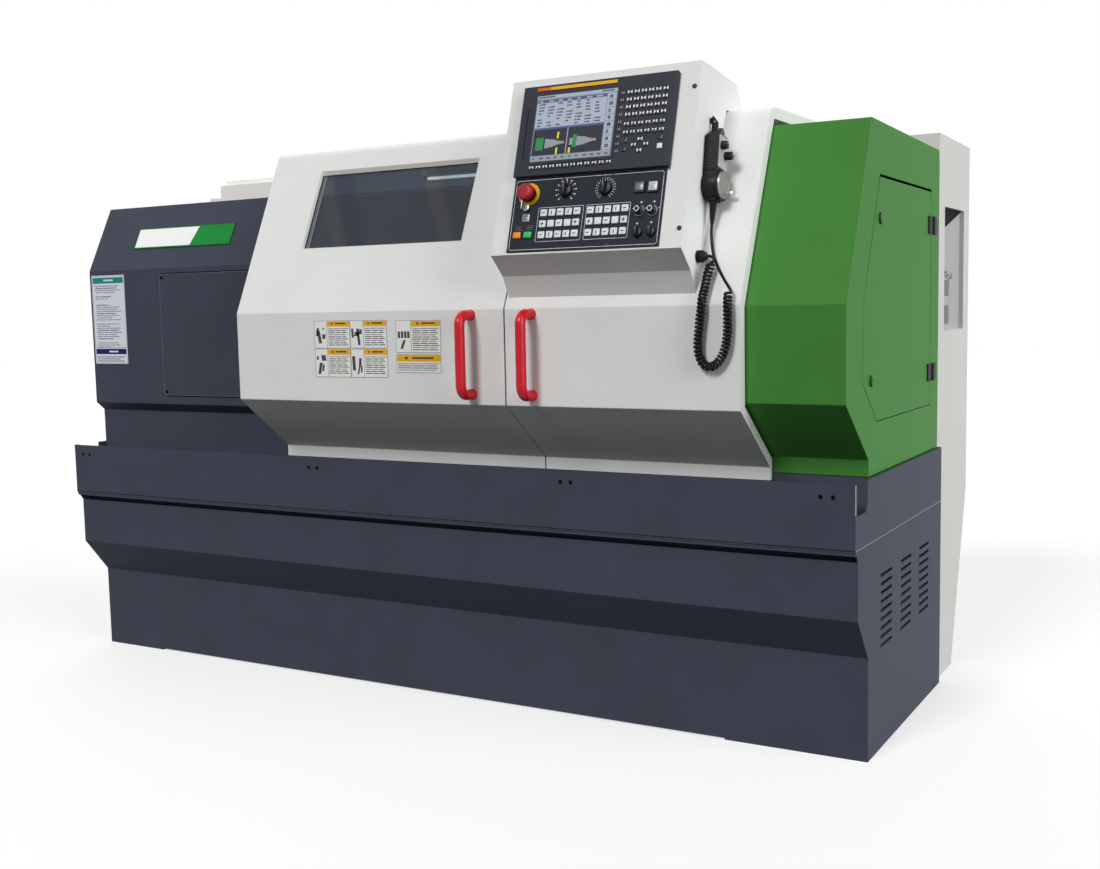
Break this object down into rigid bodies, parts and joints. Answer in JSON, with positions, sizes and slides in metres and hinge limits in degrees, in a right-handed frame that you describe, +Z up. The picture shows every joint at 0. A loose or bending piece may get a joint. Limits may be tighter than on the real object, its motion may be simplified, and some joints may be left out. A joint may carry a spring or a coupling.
{
  "type": "enclosed turning lathe",
  "caption": "Enclosed flat-bed turning lathe with sliding doors, tilted control box, hand pendant on a curly cord, chip tray and rear electrical cabinet.",
  "frame": {"origin": "on the floor, under the middle of the machine's overall box", "axes": "+X along the bed towards the tailstock, +Y to the rear, +Z up; the operator stands on the -Y side"},
  "size_m": [2.42, 1.2852, 1.5543],
  "materials": {
    "slate_paint": "fine textured",
    "white_paint": "fine textured",
    "green_paint": "semi-gloss",
    "cream_paint": "semi-gloss",
    "casting": "machined and painted",
    "steel": "ground",
    "red_plastic": "gloss",
    "black_plastic": "satin",
    "panel_plastic": "satin",
    "orange_plastic": "gloss",
    "green_plastic": "gloss",
    "black_rubber": "matte",
    "dark_glass": "tinted",
    "aluminium": "satin"
  },
  "bodies": {
    "machine": {"base_cabinet": "slate_paint", "chip_tray": "slate_paint", "bed": "casting", "headstock": "green_paint", "headstock_cover": "slate_paint", "access_panel": "slate_paint", "tailstock_cover": "green_paint", "hinge_leaves": "black_plastic", "enclosure_frame": "slate_paint", "rail_beam": "cream_paint", "door_rails": "steel", "electrical_cabinet": "white_paint", "spindle_motor": "casting", "drive_belt": "black_rubber", "screw_supports": "casting"},
    "sliding_door_left": {"left_door": "white_paint", "window_frame": "black_rubber", "window_glass": "dark_glass", "left_handle": "red_plastic", "left_runners": "steel"},
    "sliding_door_right": {"right_door": "white_paint", "right_handle": "red_plastic", "right_runners": "steel", "control_box": "white_paint", "display_unit": "panel_plastic", "operator_panel": "panel_plastic", "pendant_body": "black_plastic", "cord_gland": "black_rubber", "cord_tube": "black_rubber", "cord_coil": "black_rubber", "cord_plug": "black_plastic"},
    "spindle_and_chuck": {"spindle": "steel", "chuck": "steel"},
    "estop_button_body": {"estop_button": "red_plastic"},
    "feed_knob_body": {"feed_knob": "black_plastic"},
    "speed_knob_body": {"speed_knob": "black_plastic"},
    "selector_1_body": {"selector_1": "black_plastic"},
    "selector_2_body": {"selector_2": "black_plastic"},
    "selector_3_body": {"selector_3": "black_plastic"},
    "selector_4_body": {"selector_4": "black_plastic"},
    "key_switch_body": {"key_switch": "steel"},
    "start_button_body": {"start_button": "green_plastic"},
    "stop_button_body": {"stop_button": "orange_plastic"},
    "pendant_dial_body": {"pendant_dial": "aluminium"},
    "axis_knob_body": {"axis_knob": "black_plastic"},
    "step_knob_body": {"step_knob": "black_plastic"},
    "side_door_body": {"side_door": "green_paint"},
    "upper_latch_body": {"upper_latch": "black_plastic"},
    "lower_latch_body": {"lower_latch": "black_plastic"},
    "jaw_1_body": {"jaw_1": "steel"},
    "jaw_2_body": {"jaw_2": "steel"},
    "jaw_3_body": {"jaw_3": "steel"},
    "carriage_body": {"carriage": "casting"},
    "cross_slide_body": {"cross_slide": "casting"},
    "turret_body": {"turret": "casting"},
    "tailstock_body": {"tailstock": "green_paint"},
    "quill_body": {"quill": "steel"},
    "handwheel_body": {"handwheel": "steel"},
    "z_screw_body": {"z_screw": "steel"},
    "motor_pulley_body": {"motor_pulley": "steel"}
  },
  "joints": [
    {"name": "left_door_slide", "type": "slide", "parent": "machine", "child": "sliding_door_left", "axis": [1, 0, 0], "range_m": [-0.6, 0]},
    {"name": "right_door_slide", "type": "slide", "parent": "machine", "child": "sliding_door_right", "axis": [1, 0, 0], "range_m": [0, 0.225]},
    {"name": "estop_push", "type": "slide", "parent": "sliding_door_right", "child": "estop_button_body", "axis": [0, 0.9583, -0.2857], "range_m": [0, 0.005]},
    {"name": "feed_knob_turn", "type": "hinge", "parent": "sliding_door_right", "child": "feed_knob_body", "pos_m": [0.576, -0.5949, 1.28781], "axis": [0, -0.9583, 0.2857], "range_deg": [-150, 150]},
    {"name": "speed_knob_turn", "type": "hinge", "parent": "sliding_door_right", "child": "speed_knob_body", "pos_m": [0.676, -0.59518, 1.28686], "axis": [0, -0.9583, 0.2857], "range_deg": [-150, 150]},
    {"name": "selector_1_turn", "type": "hinge", "parent": "sliding_door_right", "child": "selector_1_body", "pos_m": [0.766, -0.61147, 1.23223], "axis": [0, -0.9583, 0.2857], "range_deg": [-45, 45]},
    {"name": "selector_2_turn", "type": "hinge", "parent": "sliding_door_right", "child": "selector_2_body", "pos_m": [0.797, -0.61175, 1.23127], "axis": [0, -0.9583, 0.2857], "range_deg": [-45, 45]},
    {"name": "selector_3_turn", "type": "hinge", "parent": "sliding_door_right", "child": "selector_3_body", "pos_m": [0.767, -0.62546, 1.18527], "axis": [0, -0.9583, 0.2857], "range_deg": [-45, 45]},
    {"name": "selector_4_turn", "type": "hinge", "parent": "sliding_door_right", "child": "selector_4_body", "pos_m": [0.799, -0.62546, 1.18527], "axis": [0, -0.9583, 0.2857], "range_deg": [-45, 45]},
    {"name": "key_turn", "type": "hinge", "parent": "sliding_door_right", "child": "key_switch_body", "pos_m": [0.479, -0.60518, 1.25331], "axis": [0, -0.9583, 0.2857], "range_deg": [0, 90]},
    {"name": "start_push", "type": "slide", "parent": "sliding_door_right", "child": "start_button_body", "axis": [0, 0.9583, -0.2857], "range_m": [0, 0.003], "stiffness_N_per_m": 400},
    {"name": "stop_push", "type": "slide", "parent": "sliding_door_right", "child": "stop_button_body", "axis": [0, 0.9583, -0.2857], "range_m": [0, 0.003], "stiffness_N_per_m": 400},
    {"name": "pendant_dial_turn", "type": "hinge", "parent": "sliding_door_right", "child": "pendant_dial_body", "pos_m": [0.908, -0.49419, 1.28545], "axis": [1, 0, 0], "continuous": true},
    {"name": "axis_knob_turn", "type": "hinge", "parent": "sliding_door_right", "child": "axis_knob_body", "pos_m": [0.908, -0.48911, 1.37188], "axis": [1, 0, 0], "range_deg": [-60, 60]},
    {"name": "step_knob_turn", "type": "hinge", "parent": "sliding_door_right", "child": "step_knob_body", "pos_m": [0.908, -0.46958, 1.35016], "axis": [1, 0, 0], "range_deg": [-45, 45]},
    {"name": "side_door_hinge", "type": "hinge", "parent": "machine", "child": "side_door_body", "pos_m": [1.2058, 0.19155, 1.028], "axis": [0, 0, 1], "range_deg": [0, 110]},
    {"name": "upper_latch_turn", "type": "hinge", "parent": "side_door_body", "child": "upper_latch_body", "pos_m": [1.2015, -0.28645, 1.21], "axis": [1, 0, 0], "range_deg": [0, 90]},
    {"name": "lower_latch_turn", "type": "hinge", "parent": "side_door_body", "child": "lower_latch_body", "pos_m": [1.2015, -0.35445, 0.852], "axis": [1, 0, 0], "range_deg": [0, 90]},
    {"name": "spindle_turn", "type": "hinge", "parent": "machine", "child": "spindle_and_chuck", "pos_m": [-0.56, -0.09745, 1.03], "axis": [1, 0, 0], "continuous": true},
    {"name": "jaw_1_slide", "type": "slide", "parent": "spindle_and_chuck", "child": "jaw_1_body", "axis": [0, 0, 1], "range_m": [-0.01, 0.006]},
    {"name": "jaw_2_slide", "type": "slide", "parent": "spindle_and_chuck", "child": "jaw_2_body", "axis": [0, -0.866, -0.5], "range_m": [-0.01, 0.006]},
    {"name": "jaw_3_slide", "type": "slide", "parent": "spindle_and_chuck", "child": "jaw_3_body", "axis": [0, 0.866, -0.5], "range_m": [-0.01, 0.006]},
    {"name": "carriage_slide", "type": "slide", "parent": "machine", "child": "carriage_body", "axis": [1, 0, 0], "range_m": [-0.43, 0.33]},
    {"name": "cross_slide_move", "type": "slide", "parent": "carriage_body", "child": "cross_slide_body", "axis": [0, 1, 0], "range_m": [-0.01, 0.11]},
    {"name": "turret_index", "type": "hinge", "parent": "cross_slide_body", "child": "turret_body", "pos_m": [0.155, -0.30745, 1], "axis": [0, 0, 1], "continuous": true},
    {"name": "tailstock_slide", "type": "slide", "parent": "machine", "child": "tailstock_body", "axis": [1, 0, 0], "range_m": [-0.38, 0]},
    {"name": "quill_slide", "type": "slide", "parent": "tailstock_body", "child": "quill_body", "axis": [1, 0, 0], "range_m": [-0.12, 0.01]},
    {"name": "handwheel_turn", "type": "hinge", "parent": "tailstock_body", "child": "handwheel_body", "pos_m": [0.988, -0.09745, 1.03], "axis": [1, 0, 0], "range_deg": [-8640, 720]},
    {"name": "screw_turn", "type": "hinge", "parent": "machine", "child": "z_screw_body", "pos_m": [-0.56, -0.27245, 0.8], "axis": [1, 0, 0], "continuous": true},
    {"name": "motor_turn", "type": "hinge", "parent": "machine", "child": "motor_pulley_body", "pos_m": [-1.03, 0.15255, 0.64], "axis": [1, 0, 0], "continuous": true}
  ],
  "couplings": [
    {"joint": "motor_turn", "follows": "spindle_turn", "ratio": 1},
    {"joint": "jaw_2_slide", "follows": "jaw_1_slide", "ratio": 1},
    {"joint": "jaw_3_slide", "follows": "jaw_1_slide", "ratio": 1},
    {"joint": "quill_slide", "follows": "handwheel_turn", "m_per_rad": 0.00079577},
    {"joint": "screw_turn", "follows": "carriage_slide", "rad_per_m": 785.4}
  ]
}
